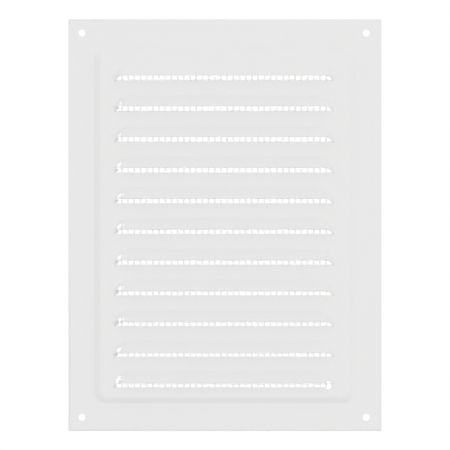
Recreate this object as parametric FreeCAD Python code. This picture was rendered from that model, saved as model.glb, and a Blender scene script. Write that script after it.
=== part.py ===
import FreeCAD, Part
import math
import os

from FreeCAD import Vector

# A wall grille for ventilation: one pressed sheet with hood louvres, and a net glued behind it.
# X runs to the right, Z runs up, and the front looks along -Y.
# The origin is the middle of the four screw holes, in the front face of the flat margin.

# Sheet and folded outline
SHEET = 0.6
PLATE_WIDTH = 152.0
PLATE_HEIGHT = 200.0
OUTLINE_SHIFT = 0.4
RIM_DEPTH = 5.0
RIM_BEND = 1.2
CORNER_SEAM = 0.3

# Screw holes, measured from the middle of the hole to the edge of the outline
HOLE_DIAMETER = 3.5
HOLE_TO_SIDE = 7.0
HOLE_TO_END = 6.75

# Raised field, with a flat margin round the foot of its slope
SIDE_MARGIN = 13.0
END_MARGIN = 13.5
FIELD_RISE = 2.0
FIELD_SLOPE = 3.0
FIELD_CORNER = 6.0
FIELD_BEND = 1.0

# Louvres, measured on the outside of the sheet and from the foot of the field's slope
LOUVRE_PITCH = 14.87
LOUVRE_TO_SIDE = 10.0
LOUVRE_TO_END = 7.5
BANK_DROP = 0.4
SLOT_HEIGHT = 2.5
HOOD_HEIGHT = 7.75
HOOD_RISE = 3.2
HOOD_END_LEAN = 1.0
HOOD_BEND = 1.0
HOOD_STATION = 0.55

# Torn louvre ends: a hooked tear at the left that grows downwards, and one round hole
TEAR_RADIUS_FIRST = 2.2
TEAR_RADIUS_LAST = 2.6
TEAR_WIDTH = 1.3
TEAR_INSET = 1.7
TEAR_FOOT_ANGLE = 230.0
TEAR_TIP_FIRST = 110.0
TEAR_TIP_LAST = 50.0
PUNCH_DIAMETER = 4.2
PUNCH_INSET = 2.6
PUNCH_RISE = 1.1

# Net
NET_PITCH = 3.0
NET_LAP = 2.5
NET_WALL = 0.3
STRAND_WIDTH = 0.7
STRAND_RELIEF = 0.25
GAP_COLUMNS = 5

# Glue dabs on the edge of the net
DAB_RADIUS = 2.2
DAB_TIP_RADIUS = 1.3
DAB_HEIGHT = 1.5
DABS_PER_SIDE = 2

# How far a cutting solid runs past the faces that it cuts, and a blister past its lip
OVERRUN = 1.0
HOOD_OVERSHOOT = 0.15

FIELD_WIDTH = PLATE_WIDTH - 2 * SIDE_MARGIN
FIELD_HEIGHT = PLATE_HEIGHT - 2 * END_MARGIN
FIELD_FRONT = -FIELD_RISE
FIELD_BACK = FIELD_FRONT + SHEET
LOUVRE_LENGTH = FIELD_WIDTH - 2 * LOUVRE_TO_SIDE
LOUVRE_COUNT = 1 + math.floor((FIELD_HEIGHT - 2 * LOUVRE_TO_END - HOOD_HEIGHT) / LOUVRE_PITCH)
BANK_HEIGHT = (LOUVRE_COUNT - 1) * LOUVRE_PITCH + HOOD_HEIGHT
NET_COLUMNS = math.floor((LOUVRE_LENGTH + 2 * NET_LAP) / NET_PITCH)
NET_ROWS = math.floor((BANK_HEIGHT + 2 * NET_LAP) / NET_PITCH)
NET_DEPTH = NET_WALL + 2 * STRAND_RELIEF


def quarter_ellipse(start, corner, end):
    """Quarter of an ellipse inside the corner of two tangents."""
    curve = Part.BezierCurve()
    curve.setPoles([start, corner, end])
    curve.setWeight(2, math.sqrt(0.5))
    return curve.toShape()


def line(start, end):
    return Part.LineSegment(start, end).toShape()


def polar(centre, radius, degrees):
    """Point in the upright plane of a centre, with angles turning from +X to +Z."""
    angle = math.radians(degrees)
    return centre + Vector(radius * math.cos(angle), 0, radius * math.sin(angle))


def block(low, high):
    """Box between two opposite corners."""
    size = high - low
    return Part.makeBox(size.x, size.y, size.z, low)


def edges_at_depth(shape, y):
    """Edges of a shape that lie in the upright plane at depth y."""
    return [edge for edge in shape.Edges
            if abs(edge.BoundBox.YMin - y) < 1e-4 and abs(edge.BoundBox.YMax - y) < 1e-4]


def bend_inset(rise, run):
    """How far the back of a bent sheet lies inside its front at the bend, seen from the front."""
    return SHEET * math.tan(math.atan2(rise, run) / 2)


def rounded_rectangle(width, height, radius, y):
    """Upright rounded rectangle about the origin, at depth y."""
    arcs = []
    for side_x, side_z in ((1, 1), (-1, 1), (-1, -1), (1, -1)):
        corner = Vector(side_x * width / 2, y, side_z * height / 2)
        beside = corner - Vector(side_x * radius, 0, 0)
        below = corner - Vector(0, 0, side_z * radius)
        start, end = (below, beside) if side_x == side_z else (beside, below)
        arcs.append((start, corner, end))
    edges = []
    for index, (start, corner, end) in enumerate(arcs):
        edges.append(quarter_ellipse(start, corner, end))
        edges.append(line(end, arcs[(index + 1) % len(arcs)][0]))
    return Part.Wire(edges)


def pan_form(inset, bend, back):
    """Filled pan inside the folded outline, with its front edges rounded."""
    half_x = PLATE_WIDTH / 2 - inset
    half_z = PLATE_HEIGHT / 2 - inset
    pan = block(Vector(OUTLINE_SHIFT - half_x, inset, -half_z),
                Vector(OUTLINE_SHIFT + half_x, back, half_z))
    return pan.makeFillet(bend, edges_at_depth(pan, inset))


def field_form(body, depth, inset, foot_bend, top_bend):
    """Raise the field on a body whose front face lies at the given depth."""
    top = depth - FIELD_RISE
    foot_wire = rounded_rectangle(FIELD_WIDTH - 2 * inset, FIELD_HEIGHT - 2 * inset,
                                  FIELD_CORNER - inset, depth)
    top_inset = inset + FIELD_SLOPE
    top_wire = rounded_rectangle(FIELD_WIDTH - 2 * top_inset, FIELD_HEIGHT - 2 * top_inset,
                                 FIELD_CORNER - top_inset, top)
    body = body.fuse(Part.makeLoft([foot_wire, top_wire], True, True))
    foot = [edge for edge in edges_at_depth(body, depth)
            if abs(edge.CenterOfMass.x) < FIELD_WIDTH / 2 + OVERRUN
            and abs(edge.CenterOfMass.z) < FIELD_HEIGHT / 2 + OVERRUN]
    body = body.makeFillet(foot_bend, foot)
    return body.makeFillet(top_bend, edges_at_depth(body, top))


def slit_height(index):
    """Height of a louvre's slit, counted from the top of the bank."""
    return BANK_HEIGHT / 2 - HOOD_HEIGHT - BANK_DROP - index * LOUVRE_PITCH


def hood_outline(slit, front, share, end_inset, top_inset):
    """Outline of a hood at a share of its rise: a straight top between quarter circles."""
    half = LOUVRE_LENGTH / 2 - end_inset - share * HOOD_END_LEAN
    height = HOOD_HEIGHT - top_inset - share * (HOOD_HEIGHT - SLOT_HEIGHT)
    y = front - share * HOOD_RISE
    right = Vector(half - height, y, slit)
    left = Vector(height - half, y, slit)
    right_end = [polar(right, height, angle) for angle in (0, 45, 90)]
    left_end = [polar(left, height, angle) for angle in (90, 135, 180)]
    return Part.Wire([
        Part.Arc(*right_end).toShape(),
        line(right_end[-1], left_end[0]),
        Part.Arc(*left_end).toShape(),
        line(left_end[-1], right_end[0]),
    ])


def hood_form(slit, front, depth, bend):
    """Blister that a hood is cut from: a bend at its root, then a slope past its lip.

    The depth is how far the surface lies behind the front of the sheet.
    """
    end_angle = math.atan2(HOOD_RISE, HOOD_END_LEAN)
    top_angle = math.atan2(HOOD_RISE, HOOD_HEIGHT - SLOT_HEIGHT)
    bend_share = bend * math.tan(top_angle / 2) * math.sin(top_angle) / HOOD_RISE
    stations = [(0, 1), (bend_share, 0), (HOOD_STATION, 0), (1 + HOOD_OVERSHOOT, 0)]
    outlines = []
    for share, spread in stations:
        inset = depth - spread * bend
        outlines.append(hood_outline(slit, front, share, inset * math.tan(end_angle / 2),
                                     inset * math.tan(top_angle / 2)))
    return Part.makeLoft(outlines, True, True)


def add_hoods(body, front, depth, bend):
    """Fuse every hood's blister to a body whose raised face lies at the given front."""
    slits = [slit_height(index) for index in range(LOUVRE_COUNT)]
    return body.multiFuse([hood_form(slit, front, depth, bend) for slit in slits])


def under_lip(slit):
    """Wedge below the plane from a slit to its lip, which opens the hood."""
    reach = HOOD_RISE + 2 * OVERRUN
    half = LOUVRE_LENGTH / 2 + OVERRUN
    low = slit - OVERRUN
    profile = Part.makePolygon([
        Vector(-half, FIELD_FRONT, low),
        Vector(-half, FIELD_FRONT, slit),
        Vector(-half, FIELD_FRONT - reach, slit + reach * SLOT_HEIGHT / HOOD_RISE),
        Vector(-half, FIELD_FRONT - reach, low),
        Vector(-half, FIELD_FRONT, low),
    ])
    return Part.Face(profile).extrude(Vector(2 * half, 0, 0))


def tear(index):
    """Hooked tear round the left end of a louvre, from its slit up and over."""
    growth = (index - 1) / (LOUVRE_COUNT - 2)
    radius = TEAR_RADIUS_FIRST + growth * (TEAR_RADIUS_LAST - TEAR_RADIUS_FIRST)
    tip = TEAR_TIP_FIRST + growth * (TEAR_TIP_LAST - TEAR_TIP_FIRST)
    middle = (TEAR_FOOT_ANGLE + tip) / 2
    left = -LOUVRE_LENGTH / 2 + TEAR_INSET * (1 - growth)
    back = FIELD_BACK + OVERRUN
    front = FIELD_FRONT - HOOD_RISE - OVERRUN
    centre = Vector(left + radius, back, slit_height(index) + radius)
    outside = [polar(centre, radius, angle) for angle in (TEAR_FOOT_ANGLE, middle, tip)]
    inside = [polar(centre, radius - TEAR_WIDTH, angle)
              for angle in (tip, middle, TEAR_FOOT_ANGLE)]
    outline = Part.Wire([
        Part.Arc(*outside).toShape(),
        line(outside[-1], inside[0]),
        Part.Arc(*inside).toShape(),
        line(inside[-1], outside[0]),
    ])
    return Part.Face(outline).extrude(Vector(0, front - back, 0))


def punched_hole():
    """Round hole that breaks into the right end of the lowest louvre."""
    front = FIELD_FRONT - HOOD_RISE - OVERRUN
    centre = Vector(LOUVRE_LENGTH / 2 - PUNCH_INSET, front,
                    slit_height(LOUVRE_COUNT - 1) + PUNCH_RISE)
    depth = FIELD_BACK + OVERRUN - front
    return Part.makeCylinder(PUNCH_DIAMETER / 2, depth, centre, Vector(0, 1, 0))


def screw_holes():
    """Four drills through the margin."""
    drills = []
    half_x = PLATE_WIDTH / 2 - HOLE_TO_SIDE
    half_z = PLATE_HEIGHT / 2 - HOLE_TO_END
    for x in (-half_x, half_x):
        for z in (-half_z, half_z):
            foot = Vector(x, -OVERRUN, z)
            drills.append(Part.makeCylinder(HOLE_DIAMETER / 2, SHEET + 2 * OVERRUN, foot,
                                            Vector(0, 1, 0)))
    return drills


def corner_seams():
    """Thin mitre cuts where two folded edges meet."""
    reach = SHEET + OVERRUN
    saw = block(Vector(-reach, RIM_BEND, -CORNER_SEAM / 2),
                Vector(reach, RIM_DEPTH + OVERRUN, CORNER_SEAM / 2))
    seams = []
    for side_x in (-1, 1):
        for side_z in (-1, 1):
            cut = saw.copy()
            cut.rotate(Vector(0, 0, 0), Vector(0, 1, 0), -45 * side_x * side_z)
            cut.translate(Vector(OUTLINE_SHIFT + side_x * PLATE_WIDTH / 2, 0,
                                 side_z * PLATE_HEIGHT / 2))
            seams.append(cut)
    return seams


def face_plate():
    """The pressed sheet: the form of its front less the form of its back, then cut."""
    front = pan_form(0, RIM_BEND, RIM_DEPTH)
    front = field_form(front, 0, 0, FIELD_BEND, FIELD_BEND + SHEET)
    front = add_hoods(front, FIELD_FRONT, 0, HOOD_BEND)

    back = pan_form(SHEET, RIM_BEND - SHEET, RIM_DEPTH + OVERRUN)
    back = field_form(back, SHEET, bend_inset(FIELD_RISE, FIELD_SLOPE),
                      FIELD_BEND + SHEET, FIELD_BEND)
    back = add_hoods(back, FIELD_BACK, SHEET, HOOD_BEND + SHEET)

    cuts = [under_lip(slit_height(index)) for index in range(LOUVRE_COUNT)]
    cuts += [tear(index) for index in range(1, LOUVRE_COUNT)]
    cuts += screw_holes() + corner_seams() + [punched_hole()]
    return front.cut([back] + cuts)


def net_corner():
    """Lower left corner of the net, in the plane where it lies against the field."""
    width = NET_COLUMNS * NET_PITCH + STRAND_WIDTH
    height = NET_ROWS * NET_PITCH + STRAND_WIDTH
    return Vector(-width / 2, FIELD_BACK, -height / 2 - BANK_DROP)


def net_slab():
    """Block that just holds the net."""
    low = net_corner()
    return block(low, Vector(-low.x, low.y + NET_DEPTH, -low.z - 2 * BANK_DROP))


def first_gap():
    """Column of the net where the first gap of each row starts."""
    spacing = GAP_COLUMNS + 1
    return (NET_COLUMNS - NET_COLUMNS // spacing * spacing + 1) // 2


def net_strands(low, high):
    """Ridges of the strands: level ones on the front of the wall, upright ones on its back.

    An upright strand that would cross the gaps is left out.
    """
    strands = []
    for row in range(NET_ROWS + 1):
        z = low.z + row * NET_PITCH
        strands.append(block(Vector(low.x, low.y, z),
                             Vector(high.x, low.y + STRAND_RELIEF, z + STRAND_WIDTH)))
    for column in range(NET_COLUMNS + 1):
        place = (column - first_gap()) % (GAP_COLUMNS + 1)
        if 0 < place < GAP_COLUMNS:
            continue
        x = low.x + column * NET_PITCH
        strands.append(block(Vector(x, high.y - STRAND_RELIEF, low.z),
                             Vector(x + STRAND_WIDTH, high.y, high.z)))
    return strands


def net_gaps(low):
    """Open cells of the net behind each slot, a few columns to a gap."""
    gaps = []
    spacing = GAP_COLUMNS + 1
    for index in range(LOUVRE_COUNT):
        middle = slit_height(index) + SLOT_HEIGHT / 2
        row = math.floor((middle - low.z - STRAND_WIDTH / 2) / NET_PITCH)
        z = low.z + row * NET_PITCH + STRAND_WIDTH
        for number in range(NET_COLUMNS // spacing):
            x = low.x + (first_gap() + number * spacing) * NET_PITCH + STRAND_WIDTH
            gaps.append(block(
                Vector(x, low.y - OVERRUN, z),
                Vector(x + GAP_COLUMNS * NET_PITCH - STRAND_WIDTH, low.y + NET_DEPTH + OVERRUN,
                       z + NET_PITCH - STRAND_WIDTH)))
    return gaps


def insect_net():
    """Net against the back of the field: one wall with ridged strands and open gaps."""
    bounds = net_slab().BoundBox
    low = Vector(bounds.XMin, bounds.YMin, bounds.ZMin)
    high = Vector(bounds.XMax, bounds.YMax, bounds.ZMax)
    wall = block(low + Vector(0, STRAND_RELIEF, 0), high - Vector(0, STRAND_RELIEF, 0))
    net = wall.cut(net_gaps(low)).multiFuse(net_strands(low, high))
    return net.removeSplitter()


def dab_places():
    """Middles of the dabs, spread along the two long edges of the net."""
    low = net_corner()
    high_z = -low.z - 2 * BANK_DROP
    places = []
    for number in range(DABS_PER_SIDE):
        z = low.z + (number + 0.5) * (high_z - low.z) / DABS_PER_SIDE
        places += [Vector(low.x, low.y, z), Vector(-low.x, low.y, z)]
    return places


def glue_dabs():
    """Flat cones of glue that grip the edge of the net and the sheet beside it."""
    cone = Part.makeCone(DAB_RADIUS, DAB_TIP_RADIUS, DAB_HEIGHT, Vector(0, 0, 0), Vector(0, 1, 0))
    slab = net_slab()
    dabs = []
    for place in dab_places():
        dab = cone.copy()
        dab.translate(place)
        dabs.append(dab.cut(slab))
    return Part.makeCompound(dabs)


def save(shape, node):
    shape.exportStep("parts/" + node + ".step")


os.makedirs("parts", exist_ok=True)
save(face_plate(), "face_plate")
save(insect_net(), "insect_net")
save(glue_dabs(), "glue_dabs")
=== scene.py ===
"""Dressed model of a wall grille: a powder-coated pressed sheet with hood louvres and a net."""

import logging
import math
from dataclasses import dataclass, field
from enum import Enum

import bmesh
import bpy
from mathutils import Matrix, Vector, noise
from mathutils.bvhtree import BVHTree
from mathutils.geometry import delaunay_2d_cdt, intersect_point_line


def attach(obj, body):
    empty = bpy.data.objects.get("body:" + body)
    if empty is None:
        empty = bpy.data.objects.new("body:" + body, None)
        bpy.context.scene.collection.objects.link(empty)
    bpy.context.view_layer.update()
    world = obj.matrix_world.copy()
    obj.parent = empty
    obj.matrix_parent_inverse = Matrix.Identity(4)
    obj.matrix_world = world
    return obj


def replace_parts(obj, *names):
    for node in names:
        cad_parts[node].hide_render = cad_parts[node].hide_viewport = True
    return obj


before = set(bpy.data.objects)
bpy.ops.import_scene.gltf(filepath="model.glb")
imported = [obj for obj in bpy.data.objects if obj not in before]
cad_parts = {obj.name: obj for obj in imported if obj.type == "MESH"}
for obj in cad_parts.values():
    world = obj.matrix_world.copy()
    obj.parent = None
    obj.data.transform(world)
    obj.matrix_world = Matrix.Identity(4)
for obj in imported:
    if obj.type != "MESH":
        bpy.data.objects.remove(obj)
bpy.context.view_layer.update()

LOG = logging.getLogger("grille")
MM = 0.001
# Vertex mask of painted shade: the torn louvre ends are painted a darker, partly metallic grey
TORN_END_SHADE = "torn_end_painted_shade"

Point = tuple[float, float]
Place = tuple[float, float, float]
OpenPlace = tuple[float, float | None, float]


# Shader tools


class Value:
    """A socket or number of a shader, with the arithmetic that adds its Math nodes."""

    def __init__(self, tree: "ShaderTree", source: "bpy.types.NodeSocket | float") -> None:
        """Wrap a socket or number of a tree."""
        self.tree = tree
        self.source = source

    def _math(self, operation: str, *others: "Value | float") -> "Value":
        """Add a Math node that works on this value and the others."""
        sources = [self.source]
        sources += [item.source if isinstance(item, Value) else item for item in others]
        inputs = dict(enumerate(sources))
        return self.tree.node("ShaderNodeMath", {"operation": operation}, inputs)

    def __add__(self, other: "Value | float") -> "Value":
        """Sum."""
        return self._math("ADD", other)

    __radd__ = __add__

    def __mul__(self, other: "Value | float") -> "Value":
        """Product."""
        return self._math("MULTIPLY", other)

    __rmul__ = __mul__

    def larger(self, other: "Value | float") -> "Value":
        """The larger of two values."""
        return self._math("MAXIMUM", other)


class ShaderTree:
    """Node tree of a material or world that is filled through one method."""

    def __init__(self, owner: "bpy.types.Material | bpy.types.World") -> None:
        """Empty the owner's tree."""
        owner.use_nodes = True
        self.nodes = owner.node_tree.nodes
        self.links = owner.node_tree.links
        self.nodes.clear()

    def node(self, kind: str, settings: dict | None = None, inputs: dict | None = None,
             output: "int | str" = 0) -> Value:
        """Add a node.

        Args:
            kind: Type name of the node.
            settings: Attributes to set first; "stops" holds a ramp's (place, colour) pairs.
            inputs: Socket name or number to a number, a colour or a Value.
            output: Output to hand back.

        Returns:
            The chosen output as a Value.
        """
        made = self.nodes.new(kind)
        for name, setting in (settings or {}).items():
            if name == "stops":
                self._set_stops(made.color_ramp, setting)
            else:
                setattr(made, name, setting)
        for name, entry in (inputs or {}).items():
            source = entry.source if isinstance(entry, Value) else entry
            if isinstance(source, bpy.types.NodeSocket):
                self.links.new(source, made.inputs[name])
            else:
                made.inputs[name].default_value = source
        if not made.outputs:
            return Value(self, 0.0)
        return Value(self, made.outputs[output])

    @staticmethod
    def _set_stops(ramp: "bpy.types.ColorRamp", stops: list[tuple[float, tuple]]) -> None:
        """Give a ramp its stops."""
        while len(ramp.elements) < len(stops):
            ramp.elements.new(1.0)
        for element, (place, colour) in zip(ramp.elements, stops):
            element.position = place
            element.color = colour

    def noise(self, where: Value, scale: float, detail: float = 2.0,
              roughness: float = 0.5) -> Value:
        """Noise between 0 and 1 at a number of features per metre."""
        return self.node("ShaderNodeTexNoise", None,
                         {"Vector": where, "Scale": scale, "Detail": detail,
                          "Roughness": roughness})

    def mix(self, factor: Value, first: "Value | tuple", second: "Value | tuple") -> Value:
        """Blend between two colours."""
        return self.node("ShaderNodeMix", {"data_type": "RGBA"},
                         {"Factor": factor, "A": first, "B": second}, "Result")


def grey(level: float, warmth: float = 0.0) -> tuple[float, float, float, float]:
    """Linear colour near a neutral grey.

    Args:
        level: Linear level.
        warmth: Share by which red rises and blue falls.

    Returns:
        Colour with alpha.
    """
    return (level * (1 + warmth), level, level * (1 - warmth), 1.0)


# Finishes


@dataclass(frozen=True)
class PowderCoat:
    """White semi-gloss powder coat with a fine orange-peel skin, painted a darker, partly
    metallic grey as shade in the torn louvre ends.
    """

    level: float = 0.84
    mottle: float = 0.012
    warmth: float = 0.002
    gloss_low: float = 0.34
    gloss_high: float = 0.46
    specular: float = 0.35
    cloud_per_metre: float = 55.0
    speck_per_metre: float = 2400.0
    speck_share: float = 0.3
    peel_per_metre: float = 620.0
    peel_depth: float = 0.000012
    peel_strength: float = 0.35
    # Painted shade in the torn louvre ends: its grey, tint and metallic share
    shade_grey: float = 0.74
    shade_warmth: float = -0.02
    shade_shine: float = 0.45

    def build(self, name: str) -> "bpy.types.Material":
        """Make the material.

        Args:
            name: Name of the material.

        Returns:
            The material.
        """
        material = bpy.data.materials.new(name)
        tree = ShaderTree(material)
        where = tree.node("ShaderNodeTexCoord", output="Object")
        cloud = tree.noise(where, self.cloud_per_metre, 3.0)
        speck = tree.noise(where, self.speck_per_metre, 1.0)
        peel = tree.noise(where, self.peel_per_metre, 2.0, 0.45)
        tone = cloud * (1 - self.speck_share) + speck * self.speck_share
        colour = tree.mix(tone, grey(self.level - self.mottle, self.warmth),
                          grey(self.level + self.mottle, self.warmth))
        # Painted shade: where the mask is set, the coat turns to the darker grey and becomes
        # partly metallic
        shade_mask = tree.node("ShaderNodeAttribute", {"attribute_name": TORN_END_SHADE}, output="Fac")
        colour = tree.mix(shade_mask, colour, grey(self.shade_grey, self.shade_warmth))
        rough = cloud * (self.gloss_high - self.gloss_low) + self.gloss_low
        bump = tree.node("ShaderNodeBump", None,
                         {"Strength": self.peel_strength, "Distance": self.peel_depth,
                          "Height": peel})
        shader = tree.node("ShaderNodeBsdfPrincipled", None,
                           {"Base Color": colour, "Roughness": rough, "Normal": bump,
                            "Metallic": shade_mask * self.shade_shine,
                            "Specular IOR Level": self.specular})
        tree.node("ShaderNodeOutputMaterial", None, {"Surface": shader})
        return material


@dataclass(frozen=True)
class NetPlastic:
    """Milky drawn plastic that lets light through, with streaks along the strands."""

    level: float = 0.975
    mottle: float = 0.015
    roughness_low: float = 0.32
    roughness_spread: float = 0.15
    clearness: float = 0.8
    refraction: float = 1.15
    specular: float = 0.4
    blotch_per_metre: float = 140.0
    streak_per_metre: float = 1900.0
    streak_depth: float = 0.00002
    streak_strength: float = 0.4

    def build(self, name: str) -> "bpy.types.Material":
        """Make the material.

        Args:
            name: Name of the material.

        Returns:
            The material.
        """
        material = bpy.data.materials.new(name)
        tree = ShaderTree(material)
        where = tree.node("ShaderNodeTexCoord", output="Object")
        blotch = tree.noise(where, self.blotch_per_metre, 2.0)
        streak = tree.noise(where, self.streak_per_metre, 2.0, 0.6)
        colour = tree.mix(blotch * 0.5 + streak * 0.5, grey(self.level - self.mottle),
                          grey(self.level + self.mottle))
        rough = streak * self.roughness_spread + self.roughness_low
        bump = tree.node("ShaderNodeBump", None,
                         {"Strength": self.streak_strength, "Distance": self.streak_depth,
                          "Height": streak})
        shader = tree.node("ShaderNodeBsdfPrincipled", None,
                           {"Base Color": colour, "Roughness": rough, "Normal": bump,
                            "Transmission Weight": self.clearness, "IOR": self.refraction,
                            "Specular IOR Level": self.specular})
        tree.node("ShaderNodeOutputMaterial", None, {"Surface": shader})
        return material


@dataclass(frozen=True)
class MeltGlue:
    """Milky hot-melt glue with a glossy, faintly rippled skin."""

    level: float = 0.74
    mottle: float = 0.05
    warmth: float = 0.05
    roughness_low: float = 0.13
    roughness_spread: float = 0.14
    cloud_per_metre: float = 700.0
    ripple_per_metre: float = 1500.0
    ripple_depth: float = 0.00006
    ripple_strength: float = 0.5
    milkiness: float = 0.5
    glow_depth: float = 0.0012
    clearness: float = 0.25

    def build(self, name: str) -> "bpy.types.Material":
        """Make the material.

        Args:
            name: Name of the material.

        Returns:
            The material.
        """
        material = bpy.data.materials.new(name)
        tree = ShaderTree(material)
        where = tree.node("ShaderNodeTexCoord", output="Object")
        cloud = tree.noise(where, self.cloud_per_metre, 2.0)
        ripple = tree.noise(where, self.ripple_per_metre, 1.0)
        colour = tree.mix(cloud, grey(self.level - self.mottle, self.warmth),
                          grey(self.level + self.mottle, self.warmth))
        rough = cloud * self.roughness_spread + self.roughness_low
        bump = tree.node("ShaderNodeBump", None,
                         {"Strength": self.ripple_strength, "Distance": self.ripple_depth,
                          "Height": ripple})
        shader = tree.node("ShaderNodeBsdfPrincipled", None,
                           {"Base Color": colour, "Roughness": rough, "Normal": bump,
                            "Subsurface Weight": self.milkiness,
                            "Subsurface Scale": self.glow_depth,
                            "Transmission Weight": self.clearness})
        tree.node("ShaderNodeOutputMaterial", None, {"Surface": shader})
        return material


class Finish(Enum):
    """Finishes of the grille's pieces, each with the slot it belongs to."""

    POWDER_COAT = ("powder_coat", PowderCoat())
    NET_PLASTIC = ("net_plastic", NetPlastic())
    MELT_GLUE = ("glue", MeltGlue())

    @property
    def slot(self) -> str:
        """Name of the record's material slot."""
        return self.value[0]

    def material(self) -> "bpy.types.Material":
        """The finish's material, made on first use."""
        name = "grille_" + self.name.lower()
        return bpy.data.materials.get(name) or self.value[1].build(name)


# Mesh tools


def arc(centre: Point, radius: float, start: float, end: float, steps: int) -> list[Point]:
    """Points along an arc.

    Args:
        centre: Middle of the arc.
        radius: Radius of the arc.
        start: First angle in degrees, from +X towards +Z.
        end: Last angle in degrees.
        steps: Number of stretches.

    Returns:
        The points from start to end.
    """
    points = []
    for step in range(steps + 1):
        angle = math.radians(start + (end - start) * step / steps)
        points.append((centre[0] + radius * math.cos(angle),
                       centre[1] + radius * math.sin(angle)))
    return points


def circle(centre: Point, radius: float) -> list[Point]:
    """36 points round a circle."""
    return arc(centre, radius, 0, 350, 35)


def bend_profile(run: float, rise: float, foot: float, top: float,
                 steps: int) -> list[tuple[float, float]]:
    """Section of a slope between two flats, with a rounded foot and a rounded top.

    Args:
        run: Width of the slope.
        rise: Height of the slope.
        foot: Radius of the bend at the foot.
        top: Radius of the bend at the top.
        steps: Number of stretches in each bend.

    Returns:
        Pairs of distance inward from the foot and height.
    """
    slope = math.atan2(rise, run)
    foot_run = foot * math.tan(slope / 2)
    top_run = top * math.tan(slope / 2)
    points = []
    for step in range(steps + 1):
        turn = slope * step / steps
        points.append((foot * math.sin(turn) - foot_run, foot * (1 - math.cos(turn))))
    for step in range(steps + 1):
        turn = slope * (1 - step / steps)
        points.append((run + top_run - top * math.sin(turn), rise - top * (1 - math.cos(turn))))
    return points


class Loop:
    """Closed outline in the plane of the sheet."""

    def __init__(self, points: list[Point]) -> None:
        """Keep the points and their box."""
        self.points = points
        self.low = (min(x for x, _ in points), min(z for _, z in points))
        self.high = (max(x for x, _ in points), max(z for _, z in points))

    def holds(self, x: float, z: float) -> bool:
        """Whether a point lies inside the outline."""
        if not (self.low[0] < x < self.high[0] and self.low[1] < z < self.high[1]):
            return False
        odd = False
        previous = self.points[-1]
        for current in self.points:
            if (current[1] > z) != (previous[1] > z):
                share = (z - previous[1]) / (current[1] - previous[1])
                if x < previous[0] + share * (current[0] - previous[0]):
                    odd = not odd
            previous = current
        return odd


class Sheet:
    """Points and strips of a pressed sheet's front, gathered before they are joined."""

    def __init__(self) -> None:
        """Start with nothing."""
        self.points: list[OpenPlace] = []
        self.edges: list[tuple[int, int]] = []
        self.faces: list[tuple[int, ...]] = []
        self.openings: list[Loop] = []

    def add_row(self, places: list[OpenPlace], closed: bool = False) -> list[int]:
        """Add points in a row and the edges between them.

        Args:
            places: Places of the points; a depth of None is worked out later.
            closed: Whether the last point joins the first.

        Returns:
            Indices of the points.
        """
        first = len(self.points)
        self.points += places
        row = list(range(first, first + len(places)))
        self.edges += list(zip(row, row[1:]))
        if closed:
            self.edges.append((row[-1], row[0]))
        return row

    def add_strip(self, one: list[int], other: list[int], closed: bool = False) -> None:
        """Join two rows of the same length by faces.

        Args:
            one: Indices of the first row.
            other: Indices of the second row.
            closed: Whether the rows run round.
        """
        count = len(one)
        self.edges += list(zip(one, other))
        for index in range(count if closed else count - 1):
            after = (index + 1) % count
            self.faces.append((one[index], one[after], other[after], other[index]))

    def add_opening(self, points: list[Point]) -> None:
        """Cut an outline out of the sheet."""
        self.openings.append(Loop(points))
        self.add_row([(x, None, z) for x, z in points], closed=True)


def mesh_object(name: str, mesh: "bpy.types.Mesh", finish: Finish) -> "bpy.types.Object":
    """Put a mesh into the scene as a piece of the grille.

    Args:
        name: Name of the piece.
        mesh: Mesh in metres.
        finish: Finish of the piece.

    Returns:
        The piece, riding on the grille's body.
    """
    mesh.name = name
    piece = bpy.data.objects.new(name, mesh)
    bpy.context.scene.collection.objects.link(piece)
    mesh.materials.append(finish.material())
    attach(piece, "root")
    return piece


def settle_modifiers(piece: "bpy.types.Object") -> None:
    """Turn a piece's modifiers into its mesh."""
    graph = bpy.context.evaluated_depsgraph_get()
    settled = bpy.data.meshes.new_from_object(piece.evaluated_get(graph), depsgraph=graph)
    settled.name = piece.data.name
    piece.modifiers.clear()
    piece.data = settled


# Pieces of the grille, with sizes in millimetres


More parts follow.
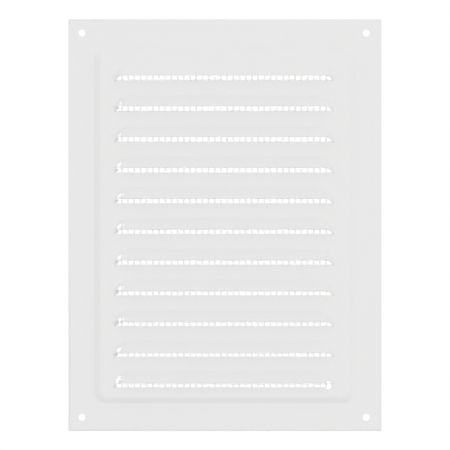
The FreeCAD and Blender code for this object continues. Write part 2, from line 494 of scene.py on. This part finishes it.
@dataclass
class Louvre:
    """One hood louvre: a lanced slit with the sheet above it pressed out over it."""

    slit: float
    front: float = -2.0
    length: float = 106.0
    height: float = 7.75
    slot: float = 2.5
    rise: float = 3.2
    end_lean: float = 1.7
    bend: float = 1.0
    end_columns: int = 24
    crowding: float = 1.5
    middle_columns: int = 12
    bend_rows: int = 6
    slope_rows: int = 7

    def generators(self) -> list[list[Place]]:
        """Lines that run over the hood from the flat sheet to its free edge.

        Returns:
            Rows of places, from the left end of the hood over its top to the right end.
        """
        turns = [90 * (step / self.end_columns) ** self.crowding
                 for step in range(1, self.end_columns + 1)]
        right = [self._generator(turn) for turn in turns]
        left = [[(-x, y, z) for x, y, z in line] for line in right]
        middle = []
        for step in range(1, self.middle_columns):
            share = step / self.middle_columns
            middle.append([(a[0] * (1 - share) + b[0] * share, b[1], b[2])
                           for a, b in zip(left[-1], right[-1])])
        return left + middle + right[::-1]

    def _reach(self, fall: float) -> float:
        """How far the root's bend runs out over the flat sheet, for a wall that falls back."""
        return self.bend * math.tan(math.atan2(self.rise, fall) / 2)

    def _generator(self, turn: float) -> list[Place]:
        """One line over the right end, turned in degrees from its slit to its straight top."""
        angle = math.radians(turn)
        out = Vector((math.cos(angle), 0, math.sin(angle)))
        half = self.length / 2
        root = Vector((half - self.height, 0, 0)) + out * self.height
        lip = Vector((half - self.end_lean - self.slot, -self.rise, 0)) + out * self.slot
        fall = (root - lip).dot(out)
        reach = self._reach(fall)
        foot = root + out * reach
        top = root + (lip - root) * (reach / math.hypot(self.rise, fall))
        line = []
        for step in range(self.bend_rows + 1):
            t = step / self.bend_rows
            line.append(foot * (1 - t) ** 2 + root * 2 * t * (1 - t) + top * t ** 2)
        for step in range(1, self.slope_rows + 1):
            line.append(top + (lip - top) * step / self.slope_rows)
        return [(place.x, self.front + place.y, self.slit + place.z)
                for place in self._clip(line)]

    def _clip(self, line: list[Vector]) -> list[Vector]:
        """Shorten a line to where it meets the opening's tilted plane, with as many points."""
        tilt = self.slot / self.rise
        lengths = [0.0]
        for one, other in zip(line, line[1:]):
            lengths.append(lengths[-1] + (other - one).length)
        end = lengths[-1]
        for index, (one, other) in enumerate(zip(line, line[1:])):
            before = one.z + one.y * tilt
            after = other.z + other.y * tilt
            if after < 0 < before:
                share = before / (before - after)
                end = lengths[index] + share * (lengths[index + 1] - lengths[index])
                break
        scale = end / lengths[-1]
        return [self._along(line, lengths, length * scale) for length in lengths]

    @staticmethod
    def _along(line: list[Vector], lengths: list[float], length: float) -> Vector:
        """Place at a length along a line."""
        for index in range(1, len(line)):
            if length <= lengths[index] or index == len(line) - 1:
                span = lengths[index] - lengths[index - 1]
                share = min(max((length - lengths[index - 1]) / span, 0.0), 1.0)
                return line[index - 1].lerp(line[index], share)
        return line[-1]

    def press_into(self, sheet: Sheet) -> None:
        """Add the hood and its slot to a sheet."""
        lines = self.generators()
        rows = [sheet.add_row(line) for line in lines]
        for one, other in zip(rows, rows[1:]):
            sheet.add_strip(one, other)
        foot = self.length / 2 + self._reach(self.end_lean)
        ends = sheet.add_row([(-foot, self.front, self.slit), (foot, self.front, self.slit)])
        sheet.edges += [(ends[0], rows[0][0]), (ends[0], rows[0][-1]),
                        (ends[1], rows[-1][0]), (ends[1], rows[-1][-1])]
        edge = [(line[-1][0], line[-1][2]) for line in lines]
        sheet.openings.append(Loop(edge + [(foot, self.slit), (-foot, self.slit)]))


@dataclass(frozen=True)
class Hook:
    """One hooked tear and its burr.

    The tip is an angle in degrees. The insets are distances from the hood's left end, the rise is
    the height over the slit, and the depth is the burr's place along Y.
    """

    radius: float
    tip: float
    inset: float
    burr_radius: float
    burr_inset: float = 1.1
    burr_rise: float = 1.3
    burr_depth: float = -2.4
    width: float = 1.4


@dataclass
class Tears:
    """Hooked tears round the left louvre ends and the round hole at the lowest right end."""

    hooks: tuple[Hook, ...] = (
        Hook(2.3, 112, 1.9, 0.75, burr_rise=1.5),
        Hook(2.3, 104, 1.6, 0.75, burr_rise=1.2),
        Hook(2.5, 84, 0.9, 0.55, burr_rise=1.2),
        Hook(2.4, 62, 1.2, 0.6, burr_rise=1.1),
        Hook(2.5, 62, 1.1, 0.65, burr_rise=1.2),
        Hook(2.4, 60, 1.1, 0.75),
        Hook(2.3, 66, 1.5, 1.0, burr_rise=1.9),
        Hook(2.2, 58, 1.4, 1.0, burr_rise=1.6),
        Hook(2.3, 60, 0.9, 0.8, burr_inset=0.8),
        Hook(2.8, 48, 0.1, 0.8, burr_inset=2.7, burr_rise=2.8, burr_depth=-4.4, width=2.1),
    )
    foot_angle: float = 230.0
    punch_radius: float = 2.1
    punch_inset: float = 2.6
    punch_rise: float = 1.1
    cut_near: float = -9.0
    cut_far: float = 2.0
    burr_flatness: float = 0.6
    burr_unevenness: float = 0.5
    burr_lumps: float = 1.3
    wall_start: float = 0.3

    def build(self, louvres: list[Louvre]) -> "bpy.types.Object":
        """Make the solid that cuts all tears.

        Args:
            louvres: Louvres from the top down.

        Returns:
            Prisms through the sheet, one for each tear and one for the round hole.
        """
        shell = bmesh.new()
        for louvre, hook in zip(louvres[1:], self.hooks):
            left = hook.inset - louvre.length / 2
            centre = (left + hook.radius, louvre.slit + hook.radius)
            outside = arc(centre, hook.radius, hook.tip, self.foot_angle, 20)
            inside = arc(centre, hook.radius - hook.width, self.foot_angle, hook.tip, 12)
            self._prism(shell, outside + inside)
        last = louvres[-1]
        punched = (last.length / 2 - self.punch_inset, last.slit + self.punch_rise)
        self._prism(shell, circle(punched, self.punch_radius))
        mesh = bpy.data.meshes.new("Tears")
        shell.to_mesh(mesh)
        shell.free()
        return bpy.data.objects.new("Tears", mesh)

    def add_burrs(self, shell: "bmesh.types.BMesh", louvres: list[Louvre]) -> None:
        """Add the curled scraps in the torn ends and mark the painted shade there.

        Args:
            shell: Torn sheet in metres.
            louvres: Louvres from the top down.
        """
        # Painted shade: the sheet round each scrap gets the darker grey
        shade_mask = shell.verts.layers.float.new(TORN_END_SHADE)
        for louvre, hook in zip(louvres[1:], self.hooks):
            place = Vector((hook.burr_inset - louvre.length / 2, hook.burr_depth,
                            louvre.slit + hook.burr_rise))
            wall_side = louvre.end_lean - louvre.length / 2
            wall_foot = louvre.front - self.wall_start
            for vert in shell.verts:
                spot = vert.co / MM
                gap = math.hypot(spot.x - place.x, spot.z - place.z)
                if spot.x < wall_side and spot.y < wall_foot and gap < hook.burr_radius:
                    vert[shade_mask] = 1.0
            # Each scrap is painted with the same shade
            for vert in bmesh.ops.create_icosphere(shell, subdivisions=3, radius=1.0)["verts"]:
                lump = noise.noise(vert.co * self.burr_lumps + place)
                offset = vert.co * hook.burr_radius * (1 + self.burr_unevenness * lump)
                offset.y *= self.burr_flatness
                vert.co = (place + offset) * MM
                vert[shade_mask] = 1.0

    def _prism(self, shell: "bmesh.types.BMesh", outline: list[Point]) -> None:
        """Add a prism through the sheet over an outline that turns from +X to +Z."""
        near = [shell.verts.new(Vector((x, self.cut_near, z)) * MM) for x, z in outline]
        far = [shell.verts.new(Vector((x, self.cut_far, z)) * MM) for x, z in outline]
        shell.faces.new(near)
        shell.faces.new(far[::-1])
        for index, vert in enumerate(near):
            before = index - 1
            shell.faces.new((vert, near[before], far[before], far[index]))


@dataclass
class FacePlate:
    """Pressed and folded sheet with its raised field and louvres."""

    width: float = 152.0
    height: float = 200.0
    shift: float = 0.4
    thickness: float = 0.6
    rim_depth: float = 5.0
    rim_bend: float = 1.2
    seam: float = 0.3
    hole_radius: float = 1.75
    hole_places: Point = (69.0, 93.25)
    field_width: float = 126.0
    field_height: float = 173.0
    field_rise: float = 2.0
    field_slope: float = 3.0
    field_corner: float = 6.0
    field_bend: float = 1.0
    louvre_count: int = 11
    louvre_pitch: float = 14.87
    bank_drop: float = 0.4
    edge_round: float = 0.09
    edge_room: float = 0.144
    weld: float = 0.0018
    fold_weld: float = 0.0001
    fold_start: float = 0.05
    fold_steps: int = 6
    slope_steps: int = 5
    corner_steps: int = 12
    thickness_limit: float = 1.6
    probe_start: float = -20.0
    sharp_angle: float = 55.0
    tears: Tears = field(default_factory=Tears)

    def louvres(self) -> list[Louvre]:
        """Louvres from the top down."""
        bank = (self.louvre_count - 1) * self.louvre_pitch + Louvre.height
        top = bank / 2 - Louvre.height - self.bank_drop
        return [Louvre(top - index * self.louvre_pitch) for index in range(self.louvre_count)]

    def build(self) -> "bpy.types.Object":
        """Make the piece.

        Returns:
            The sheet, standing for its solid.
        """
        sheet = Sheet()
        rim = self._corners(self.rim_bend)
        sheet.add_row([(x, 0.0, z) for x, z in rim], closed=True)
        self._raise_field(sheet)
        louvres = self.louvres()
        for louvre in louvres:
            louvre.press_into(sheet)
        for x in (-self.hole_places[0], self.hole_places[0]):
            for z in (-self.hole_places[1], self.hole_places[1]):
                sheet.add_opening(circle((x, z), self.hole_radius))
        shell = self._join(sheet)
        self._fold_rim(shell)
        mesh = self._thicken(shell)
        piece = mesh_object("FacePlate", mesh, Finish.POWDER_COAT)
        self._tear(piece, louvres)
        self._add_burrs(piece, louvres)
        self._even_shading(piece)
        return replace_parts(piece, "face_plate")

    def _corners(self, inset: float) -> list[Point]:
        """Corners of the outline at an inset."""
        half_x = self.width / 2 - inset
        half_z = self.height / 2 - inset
        return [(self.shift + x * half_x, z * half_z)
                for x, z in ((1, 1), (-1, 1), (-1, -1), (1, -1))]

    def _field_ring(self, inset: float) -> list[Point]:
        """Rounded rectangle of the raised field at an inset."""
        radius = self.field_corner - inset
        half_x = self.field_width / 2 - inset - radius
        half_z = self.field_height / 2 - inset - radius
        ring = []
        for quarter, (x, z) in enumerate(((1, 1), (-1, 1), (-1, -1), (1, -1))):
            start = 90 * quarter
            ring += arc((x * half_x, z * half_z), radius, start, start + 90, self.corner_steps)
        return ring

    def _raise_field(self, sheet: Sheet) -> None:
        """Add the slope round the raised field."""
        profile = bend_profile(self.field_slope, self.field_rise, self.field_bend,
                               self.field_bend + self.thickness, self.slope_steps)
        rows = []
        for inset, height in profile:
            ring = self._field_ring(inset)
            rows.append(sheet.add_row([(x, -height, z) for x, z in ring], closed=True))
        for one, other in zip(rows, rows[1:]):
            sheet.add_strip(one, other, closed=True)

    def _join(self, sheet: Sheet) -> "bmesh.types.BMesh":
        """Fill the sheet between its strips and cut its openings.

        Args:
            sheet: The sheet's points, edges, strips and openings.

        Returns:
            The front of the sheet, in millimetres.
        """
        known = [Vector(place) if place[1] is not None else None for place in sheet.points]
        strips = BVHTree.FromPolygons([place or Vector() for place in known], sheet.faces)
        field_edge = Loop(self._field_ring(self.field_slope))
        flat = [Vector((place[0], place[2])) for place in sheet.points]
        points, _, faces, origins, _, _ = delaunay_2d_cdt(flat, sheet.edges, [], 0, 1e-5)
        shell = bmesh.new()
        for point, sources in zip(points, origins):
            given = next((known[index] for index in sources if known[index] is not None), None)
            depth = given.y if given else self._depth(strips, field_edge, point)
            shell.verts.new((point.x, depth, point.y))
        shell.verts.ensure_lookup_table()
        for face in faces:
            x = sum(points[index].x for index in face) / len(face)
            z = sum(points[index].y for index in face) / len(face)
            if not any(opening.holds(x, z) for opening in sheet.openings):
                shell.faces.new([shell.verts[index] for index in face])
        loose = [vert for vert in shell.verts if not vert.link_faces]
        bmesh.ops.delete(shell, geom=loose, context="VERTS")
        self._clear_edges(shell)
        return shell

    def _clear_edges(self, shell: "bmesh.types.BMesh") -> None:
        """Merge points that lie too close to a cut edge into that edge."""
        merges = {}
        for vert in shell.verts:
            if vert.is_boundary:
                continue
            for face in vert.link_faces:
                for edge in face.edges:
                    if not edge.is_boundary or vert in merges:
                        continue
                    nearest, share = intersect_point_line(vert.co, edge.verts[0].co,
                                                          edge.verts[1].co)
                    if (nearest - vert.co).length < self.edge_room:
                        merges[vert] = edge.verts[round(min(max(share, 0.0), 1.0))]
        bmesh.ops.weld_verts(shell, targetmap=merges)
        bmesh.ops.dissolve_degenerate(shell, dist=self.weld, edges=shell.edges)

    def _depth(self, strips: BVHTree, field_edge: Loop, point: Vector) -> float:
        """Depth of the front at a point of the sheet."""
        start = Vector((point.x, self.probe_start, point.y))
        hit = strips.ray_cast(start, Vector((0, 1, 0)))[0]
        if hit is not None:
            return hit.y
        return -self.field_rise if field_edge.holds(point.x, point.y) else 0.0

    def _fold_rim(self, shell: "bmesh.types.BMesh") -> None:
        """Add the four folded edges to the front."""
        section = []
        for step in range(self.fold_steps + 1):
            turn = math.radians(90 * step / self.fold_steps)
            section.append((self.rim_bend * (1 - math.sin(turn)),
                            self.rim_bend * (1 - math.cos(turn))))
        rings = []
        for inset, depth in section:
            rings.append([shell.verts.new((x, depth, z)) for x, z in self._corners(inset)])
        for one, other in zip(rings, rings[1:]):
            for index in range(4):
                after = (index + 1) % 4
                shell.faces.new((one[index], other[index], other[after], one[after]))
        gap = self.seam * math.sqrt(0.5)
        corners = self._corners(0)
        for index in range(4):
            start = Vector((corners[index][0], 0, corners[index][1]))
            end = Vector((corners[(index + 1) % 4][0], 0, corners[(index + 1) % 4][1]))
            along = (end - start).normalized() * gap
            top = (rings[-1][index], rings[-1][(index + 1) % 4])
            walls = []
            for depth in (self.rim_bend + self.fold_start, self.rim_depth):
                back = Vector((0, depth, 0))
                walls.append((shell.verts.new(start + along + back),
                              shell.verts.new(end - along + back)))
            shell.faces.new((top[0], walls[0][0], walls[0][1], top[1]))
            shell.faces.new((walls[0][0], walls[1][0], walls[1][1], walls[0][1]))
        bmesh.ops.remove_doubles(shell, verts=shell.verts, dist=self.fold_weld)
        for face in shell.faces:
            face.normal_update()

    def _thicken(self, shell: "bmesh.types.BMesh") -> "bpy.types.Mesh":
        """Give the front its back and close the cut edges.

        Args:
            shell: Front of the sheet in millimetres.

        Returns:
            Closed mesh in metres.
        """
        shell.normal_update()
        shell.verts.index_update()
        count = len(shell.verts)
        places = [vert.co.copy() for vert in shell.verts]
        places += [self._back(vert) for vert in shell.verts]
        faces = [[vert.index for vert in face.verts] for face in shell.faces]
        faces += [[index + count for index in reversed(face)] for face in faces]
        sections = {}
        for vert in shell.verts:
            if vert.is_boundary:
                sections[vert.index] = self._round_section(vert, places, count)
        for edge in shell.edges:
            if edge.is_boundary:
                loop = edge.link_loops[0]
                one = sections[loop.vert.index]
                other = sections[loop.link_loop_next.vert.index]
                for step in range(len(one) - 1):
                    faces.append([other[step], one[step], one[step + 1], other[step + 1]])
        shell.free()
        mesh = bpy.data.meshes.new("FacePlate")
        mesh.from_pydata([place * MM for place in places], [], faces)
        mesh.validate()
        return mesh

    def _back(self, vert: "bmesh.types.BMVert") -> Vector:
        """Place on the back of the sheet behind a point of its front."""
        factor = min(vert.calc_shell_factor(), self.thickness_limit)
        return vert.co - vert.normal * self.thickness * factor + self._mitre(vert)

    def _round_section(self, vert: "bmesh.types.BMVert", places: list[Vector],
                       count: int) -> list[int]:
        """Round the cut edge of the sheet at a point of its outline.

        Args:
            vert: Point on a cut edge of the front.
            places: Places of front and back, whose two at this point are drawn in.
            count: Number of points of the front.

        Returns:
            Indices of the places from the front over the cut edge to the back.
        """
        out = Vector()
        inner = []
        for edge in vert.link_edges:
            if edge.is_boundary:
                loop = edge.link_loops[0]
                along = loop.link_loop_next.vert.co - loop.vert.co
                out += along.cross(loop.face.normal).normalized()
            else:
                inner.append(edge.calc_length())
        out /= max(out.length_squared / 2, 1.0)
        radius = min([self.edge_round] + [length * 0.4 for length in inner])
        front = places[vert.index]
        back = places[vert.index + count]
        down = (back - front).normalized() * radius
        draw = out * radius
        turn = 1 - math.sqrt(0.5)
        first = len(places)
        places += [front - draw * turn + down * turn, front + down,
                   back - down, back - draw * turn - down * turn]
        places[vert.index] = front - draw
        places[vert.index + count] = back - draw
        return [vert.index] + list(range(first, first + 4)) + [vert.index + count]

    def _mitre(self, vert: "bmesh.types.BMVert") -> Vector:
        """How far a folded edge's end is drawn back inside, so that two edges don't cross."""
        if vert.co.y < self.rim_bend + self.fold_start / 2:
            return Vector()
        reach = self.thickness
        x = vert.co.x - self.shift
        if abs(abs(x) - self.width / 2) < self.weld:
            return Vector((0, 0, -math.copysign(reach, vert.co.z)))
        return Vector((-math.copysign(reach, x), 0, 0))

    def _tear(self, piece: "bpy.types.Object", louvres: list[Louvre]) -> None:
        """Cut the tears out of the sheet."""
        cutter = self.tears.build(louvres)
        cut = piece.modifiers.new("Tears", "BOOLEAN")
        cut.operation = "DIFFERENCE"
        cut.solver = "EXACT"
        cut.object = cutter
        settle_modifiers(piece)
        bpy.data.objects.remove(cutter)

    def _add_burrs(self, piece: "bpy.types.Object", louvres: list[Louvre]) -> None:
        """Add the burrs of the tears to the sheet."""
        shell = bmesh.new()
        shell.from_mesh(piece.data)
        self.tears.add_burrs(shell, louvres)
        shell.to_mesh(piece.data)
        shell.free()

    def _even_shading(self, piece: "bpy.types.Object") -> None:
        """Shade the bends smoothly, keep the flats flat and the torn edges sharp."""
        for polygon in piece.data.polygons:
            polygon.use_smooth = True
        piece.data.set_sharp_from_angle(angle=math.radians(self.sharp_angle))
        normals = piece.modifiers.new("EvenNormals", "WEIGHTED_NORMAL")
        normals.keep_sharp = True
        normals.weight = 100
        settle_modifiers(piece)


@dataclass
class InsectNet:
    """Moulded net of round strands, level ones in front and upright ones behind."""

    pitch: float = 3.0
    columns: int = 37
    rows: int = 53
    strand_width: float = 0.68
    strand_depth: float = 0.46
    knot: float = 0.24
    knot_reach: float = 0.16
    wander: float = 0.07
    wander_rate: float = 0.21
    wander_step: float = 7.3
    first_upright: int = 100
    front: float = -1.4
    depth: float = 0.8
    margin: float = 0.35
    clearance: float = 0.01
    middle_z: float = -0.4
    sides: int = 6

    def half_width(self) -> float:
        """Half of the net's width."""
        return self.columns * self.pitch / 2 + self.margin

    def half_height(self) -> float:
        """Half of the net's height."""
        return self.rows * self.pitch / 2 + self.margin

    def build(self) -> "bpy.types.Object":
        """Make the piece.

        Returns:
            The net, standing for its solid.
        """
        shell = bmesh.new()
        low_x = -self.columns * self.pitch / 2
        low_z = self.middle_z - self.rows * self.pitch / 2
        inside = self.strand_depth / 2 + self.clearance
        level_y = self.front + inside
        upright_y = self.front + self.depth - inside
        for row in range(self.rows + 1):
            place = Vector((low_x, level_y, low_z + row * self.pitch))
            self._strand(shell, place, Vector((1, 0, 0)), self.columns, row)
        for column in range(self.columns + 1):
            place = Vector((low_x + column * self.pitch, upright_y, low_z))
            seed = self.first_upright + column
            self._strand(shell, place, Vector((0, 0, 1)), self.rows, seed)
        mesh = bpy.data.meshes.new("InsectNet")
        shell.to_mesh(mesh)
        shell.free()
        for polygon in mesh.polygons:
            polygon.use_smooth = True
        piece = mesh_object("InsectNet", mesh, Finish.NET_PLASTIC)
        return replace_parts(piece, "insect_net")

    def _strand(self, shell: "bmesh.types.BMesh", start: Vector, along: Vector, cells: int,
                seed: int) -> None:
        """Add one strand that swells where it crosses the others.

        Args:
            shell: Mesh to add to, in metres.
            start: Middle of the strand at its first crossing, in millimetres.
            along: Direction of the strand.
            cells: Number of cells that it passes.
            seed: Number that gives the strand its own unevenness.
        """
        across = Vector((along.z, 0, along.x))
        shares = (0.0, self.knot_reach, 1 - self.knot_reach)
        stations = [-self.margin]
        for cell in range(cells):
            stations += [(cell + share) * self.pitch for share in shares]
        stations += [cells * self.pitch, cells * self.pitch + self.margin]
        rings = []
        for station in stations:
            near = math.cos(2 * math.pi * station / self.pitch)
            swell = 1 + self.knot * (near - 0.5)
            track = Vector((station * self.wander_rate, seed * self.wander_step, 0.0))
            middle = start + along * station + across * noise.noise(track) * self.wander
            rings.append(self._ring(shell, middle, across, swell))
        for one, other in zip(rings, rings[1:]):
            for index in range(self.sides):
                after = (index + 1) % self.sides
                shell.faces.new((one[index], one[after], other[after], other[index]))
        shell.faces.new(rings[0])
        shell.faces.new(rings[-1])

    def _ring(self, shell: "bmesh.types.BMesh", middle: Vector, across: Vector,
              swell: float) -> list["bmesh.types.BMVert"]:
        """Section of a strand."""
        ring = []
        for side in range(self.sides):
            angle = 2 * math.pi * side / self.sides
            offset = across * (math.cos(angle) * self.strand_width / 2 * swell)
            offset.y = math.sin(angle) * self.strand_depth / 2
            ring.append(shell.verts.new((middle + offset) * MM))
        return ring


@dataclass
class GlueDabs:
    """Uneven drops of glue over the long edges of the net."""

    radius: float = 2.2
    height: float = 1.5
    per_side: int = 2
    roundness: float = 2.2
    unevenness: float = 0.16
    rim_waves: float = 1.1
    variety: float = 0.37
    rings: int = 9
    spokes: int = 28
    net: InsectNet = field(default_factory=InsectNet)

    def build(self) -> "bpy.types.Object":
        """Make the piece.

        Returns:
            All dabs, standing for their solids.
        """
        shell = bmesh.new()
        for number in range(self.per_side):
            share = (2 * number + 1) / self.per_side - 1
            z = self.net.middle_z + share * self.net.half_height()
            for side in (-1, 1):
                self._dab(shell, Vector((side * self.net.half_width(), self.net.front, z)))
        mesh = bpy.data.meshes.new("GlueDabs")
        shell.to_mesh(mesh)
        shell.free()
        for polygon in mesh.polygons:
            polygon.use_smooth = True
        piece = mesh_object("GlueDabs", mesh, Finish.MELT_GLUE)
        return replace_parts(piece, "glue_dabs")

    def _dab(self, shell: "bmesh.types.BMesh", place: Vector) -> None:
        """Add one drop with an uneven rim and a pulled tip."""
        peak = shell.verts.new((place + Vector((0, self.height, 0))) * MM)
        rows = []
        for ring in range(1, self.rings + 1):
            share = ring / self.rings
            row = []
            for spoke in range(self.spokes):
                angle = 2 * math.pi * spoke / self.spokes
                unit = Vector((math.cos(angle), 0, math.sin(angle)))
                wave = noise.noise(unit * self.rim_waves + place * self.variety)
                uneven = 1 + self.unevenness * (wave - 0.5)
                rise = self.height * math.sqrt(max(1 - share ** self.roundness, 0.0))
                offset = unit * self.radius * share * uneven + Vector((0, rise, 0))
                row.append(shell.verts.new((place + offset) * MM))
            rows.append(row)
        for spoke in range(self.spokes):
            after = (spoke + 1) % self.spokes
            shell.faces.new((peak, rows[0][after], rows[0][spoke]))
            for one, other in zip(rows, rows[1:]):
                shell.faces.new((one[spoke], one[after], other[after], other[spoke]))
        shell.faces.new(rows[-1])
        bmesh.ops.recalc_face_normals(shell, faces=shell.faces)


# Studio


@dataclass(frozen=True)
class Lamp:
    """Soft area lamp that looks at the middle of the grille."""

    name: str
    place: Place
    size: float
    power: float

    def build(self) -> None:
        """Hang the lamp."""
        light = bpy.data.lights.new(self.name, "AREA")
        light.shape = "SQUARE"
        light.size = self.size
        light.energy = self.power
        lamp = bpy.data.objects.new(self.name, light)
        lamp.location = self.place
        lamp.rotation_euler = (-Vector(self.place)).to_track_quat("-Z", "Y").to_euler()
        bpy.context.scene.collection.objects.link(lamp)


@dataclass
class Studio:
    """White floor and surroundings, soft lamps and the camera."""

    camera_place: Place = (0.00045, -1.001, 0.00005)
    lens: float = 165.0
    floor_height: float = -0.3
    floor_half: float = 1.4
    floor_level: float = 0.8
    floor_mottle: float = 0.02
    floor_grain: float = 4.0
    floor_glow: float = 0.35
    world_level: float = 0.915
    lamps: tuple[Lamp, ...] = (
        Lamp("LampRight", (1.2, -0.7, 0.0), 1.0, 1.0),
        Lamp("LampFront", (0.0, -1.2, -0.25), 0.7, 2.0),
    )

    def build(self) -> None:
        """Set up everything round the grille."""
        scene = bpy.context.scene
        scene.view_settings.view_transform = "Standard"
        self._world(scene)
        self._floor()
        for lamp in self.lamps:
            lamp.build()
        self._camera(scene)

    def _seen(self, tree: ShaderTree) -> Value:
        """1 for rays that look straight at the background, 0 for those that light the grille."""
        rays = [tree.node("ShaderNodeLightPath", output=name)
                for name in ("Is Camera Ray", "Is Glossy Ray", "Is Transmission Ray")]
        return rays[0].larger(rays[1]).larger(rays[2])

    def _world(self, scene: "bpy.types.Scene") -> None:
        """White to look at, a little darker as light."""
        world = bpy.data.worlds.new("Surroundings")
        scene.world = world
        tree = ShaderTree(world)
        strength = self._seen(tree) * (1 - self.world_level) + self.world_level
        shader = tree.node("ShaderNodeBackground", None,
                           {"Color": grey(1.0), "Strength": strength})
        tree.node("ShaderNodeOutputWorld", None, {"Surface": shader})

    def _floor(self) -> None:
        """Pale floor below the grille."""
        half = self.floor_half
        shell = bmesh.new()
        corners = [shell.verts.new((x * half, y * half, self.floor_height))
                   for x, y in ((-1, -1), (1, -1), (1, 1), (-1, 1))]
        shell.faces.new(corners)
        mesh = bpy.data.meshes.new("Floor")
        shell.to_mesh(mesh)
        shell.free()
        material = bpy.data.materials.new("floor_paint")
        tree = ShaderTree(material)
        where = tree.node("ShaderNodeTexCoord", output="Object")
        grain = tree.noise(where, self.floor_grain, 2.0)
        colour = tree.mix(grain, grey(self.floor_level - self.floor_mottle),
                          grey(self.floor_level + self.floor_mottle))
        matte = tree.node("ShaderNodeBsdfDiffuse", None, {"Color": colour})
        glow = tree.node("ShaderNodeEmission", None,
                         {"Color": grey(1.0), "Strength": self._seen(tree) * self.floor_glow})
        both = tree.node("ShaderNodeAddShader", None, {0: matte, 1: glow})
        tree.node("ShaderNodeOutputMaterial", None, {"Surface": both})
        floor = bpy.data.objects.new("Floor", mesh)
        mesh.materials.append(material)
        bpy.context.scene.collection.objects.link(floor)

    def _camera(self, scene: "bpy.types.Scene") -> None:
        """Camera straight in front of the grille."""
        data = bpy.data.cameras.new("Camera")
        data.lens = self.lens
        data.sensor_width = 36.0
        camera = bpy.data.objects.new("Camera", data)
        camera.location = self.camera_place
        camera.rotation_euler = (math.radians(90), 0, 0)
        scene.collection.objects.link(camera)
        scene.camera = camera


def main() -> None:
    """Build the grille and its studio, and report each piece."""
    logging.basicConfig(level=logging.INFO, format="%(name)s: %(message)s")
    for part in (FacePlate(), InsectNet(), GlueDabs()):
        piece = part.build()
        triangles = sum(len(polygon.vertices) - 2 for polygon in piece.data.polygons)
        LOG.info("%s: %d triangles", piece.name, triangles)
    Studio().build()
    LOG.info("studio is ready")


if __name__ == "__main__":
    main()
